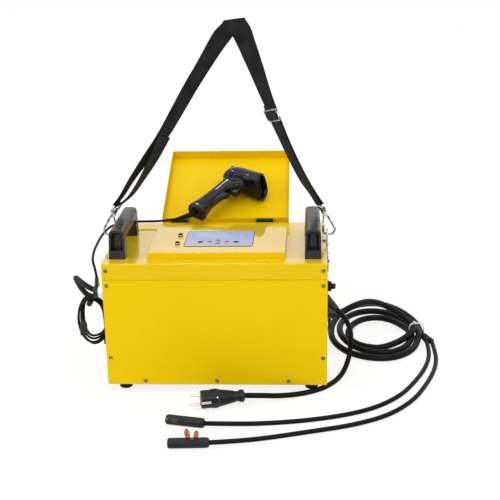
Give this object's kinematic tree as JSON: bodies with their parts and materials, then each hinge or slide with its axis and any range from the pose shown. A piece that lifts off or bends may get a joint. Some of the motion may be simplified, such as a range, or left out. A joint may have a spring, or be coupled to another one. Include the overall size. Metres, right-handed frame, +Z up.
{
  "type": "electrofusion welding machine",
  "caption": "Portable welder for plastic pipe fittings: sheet-metal case with a hinged lid over its keypad, carry handles, shoulder strap, code scanner, mains cord and coiled welding cable.",
  "frame": {"origin": "on the floor under the middle of the machine's box, cords left out", "axes": "+X to the machine's right as the operator faces it, +Y to the back, +Z up"},
  "size_m": [0.7455, 0.748, 0.712],
  "materials": {
    "case_paint": "gloss",
    "tray_paint": "gloss",
    "black_plastic": "satin",
    "black_rubber": "matte",
    "webbing": "woven",
    "overlay": "satin",
    "red": "satin",
    "yellow": "satin",
    "green": "satin",
    "window": "clear",
    "board": "satin",
    "steel": "brushed",
    "chrome": "polished",
    "copper": "bright",
    "core": "laminated",
    "aluminium": "satin",
    "white_plastic": "satin"
  },
  "bodies": {
    "case": {"front_panel": "case_paint", "back_panel": "case_paint", "left_side_panel": "case_paint", "right_side_panel": "case_paint", "top_cover": "case_paint", "console_plinth": "case_paint", "base_tray": "tray_paint", "carry_handles": "black_plastic", "switch_bezels": "black_plastic", "cable_glands": "black_plastic", "hinge_base_leaves": "black_plastic", "display_module": "black_plastic", "scanner_plug": "black_plastic", "data_plugs": "black_plastic", "rubber_feet": "black_rubber", "cable_arm": "black_rubber", "mains_plug": "black_rubber", "mains_cord": "black_rubber", "weld_coil": "black_rubber", "weld_split": "black_rubber", "weld_leads": "black_rubber", "weld_terminals": "black_rubber", "scanner_cord": "black_rubber", "data_cable": "black_rubber", "keypad_overlay": "overlay", "display_window": "window", "control_board": "board", "case_screws": "steel", "hinge_pins": "steel", "strap_eyes": "steel", "wall_sockets": "steel", "console_sockets": "chrome", "plug_pins": "chrome", "transformer_winding": "copper", "contact_clips": "copper", "transformer_core": "core", "heat_sink": "aluminium", "cable_tie": "white_plastic", "power_module": "white_plastic"},
    "lid": {"lid": "case_paint", "lid_knob": "steel", "hinge_lid_leaves": "black_plastic"},
    "strap": {"snap_hooks": "chrome", "strap_rings": "chrome", "shoulder_strap": "webbing", "strap_buckle": "black_plastic"},
    "right_gate": {"right_gate": "chrome"},
    "left_gate": {"left_gate": "chrome"},
    "scanner": {"scanner_body": "black_plastic", "scanner_window": "window", "scanner_relief": "black_rubber"},
    "trigger": {"scanner_trigger": "black_plastic"},
    "rocker": {"power_rocker": "black_plastic"},
    "selector": {"selector_knob": "black_plastic"},
    "key_stop": {"key_stop": "red"},
    "key_left": {"key_left": "yellow"},
    "key_up": {"key_up": "yellow"},
    "key_down": {"key_down": "yellow"},
    "key_right": {"key_right": "yellow"},
    "key_start": {"key_start": "green"}
  },
  "joints": [
    {"name": "lid_hinge", "type": "hinge", "parent": "case", "child": "lid", "pos_m": [0.023, 0.0207, 0.2715], "axis": [1, 0, 0], "range_deg": [0, 157.5], "deforming": ["scanner_cord", "shoulder_strap"]},
    {"name": "strap_swing", "type": "hinge", "parent": "case", "child": "strap", "pos_m": [0.023, -0.1205, 0.282], "axis": [1, 0, 0], "range_deg": [0, 20.5]},
    {"name": "scanner_lift", "type": "slide", "parent": "case", "child": "scanner", "axis": [0, 0, 1], "range_m": [0, 0.83]},
    {"name": "trigger_pull", "type": "hinge", "parent": "scanner", "child": "trigger", "pos_m": [0.0475, 0.08879, 0.31868], "axis": [0, 0.3486, -0.9373], "range_deg": [0, 6], "stiffness_Nm_per_rad": 0.05},
    {"name": "rocker_tilt", "type": "hinge", "parent": "case", "child": "rocker", "pos_m": [0.236, -0.1805, 0.241], "axis": [0, -1, 0], "range_deg": [0, 16]},
    {"name": "selector_turn", "type": "hinge", "parent": "case", "child": "selector", "pos_m": [0.2414, -0.1805, 0.195], "axis": [1, 0, 0], "range_deg": [0, 90]},
    {"name": "right_gate_swing", "type": "hinge", "parent": "strap", "child": "right_gate", "pos_m": [0.2334, -0.1205, 0.3245], "axis": [0, -1, 0], "range_deg": [0, 25], "stiffness_Nm_per_rad": 0.02},
    {"name": "left_gate_swing", "type": "hinge", "parent": "strap", "child": "left_gate", "pos_m": [-0.1874, -0.1205, 0.3245], "axis": [0, 1, 0], "range_deg": [0, 25], "stiffness_Nm_per_rad": 0.02},
    {"name": "key_stop_press", "type": "slide", "parent": "case", "child": "key_stop", "axis": [0, 0, -1], "range_m": [0, 0.0008], "stiffness_N_per_m": 800},
    {"name": "key_left_press", "type": "slide", "parent": "case", "child": "key_left", "axis": [0, 0, -1], "range_m": [0, 0.0008], "stiffness_N_per_m": 800},
    {"name": "key_up_press", "type": "slide", "parent": "case", "child": "key_up", "axis": [0, 0, -1], "range_m": [0, 0.0008], "stiffness_N_per_m": 800},
    {"name": "key_down_press", "type": "slide", "parent": "case", "child": "key_down", "axis": [0, 0, -1], "range_m": [0, 0.0008], "stiffness_N_per_m": 800},
    {"name": "key_right_press", "type": "slide", "parent": "case", "child": "key_right", "axis": [0, 0, -1], "range_m": [0, 0.0008], "stiffness_N_per_m": 800},
    {"name": "key_start_press", "type": "slide", "parent": "case", "child": "key_start", "axis": [0, 0, -1], "range_m": [0, 0.0008], "stiffness_N_per_m": 800}
  ],
  "couplings": [
    {"joint": "strap_swing", "follows": "lid_hinge", "ratio": 0.13},
    {"joint": "scanner_lift", "follows": "lid_hinge", "m_per_rad": 0.3}
  ]
}
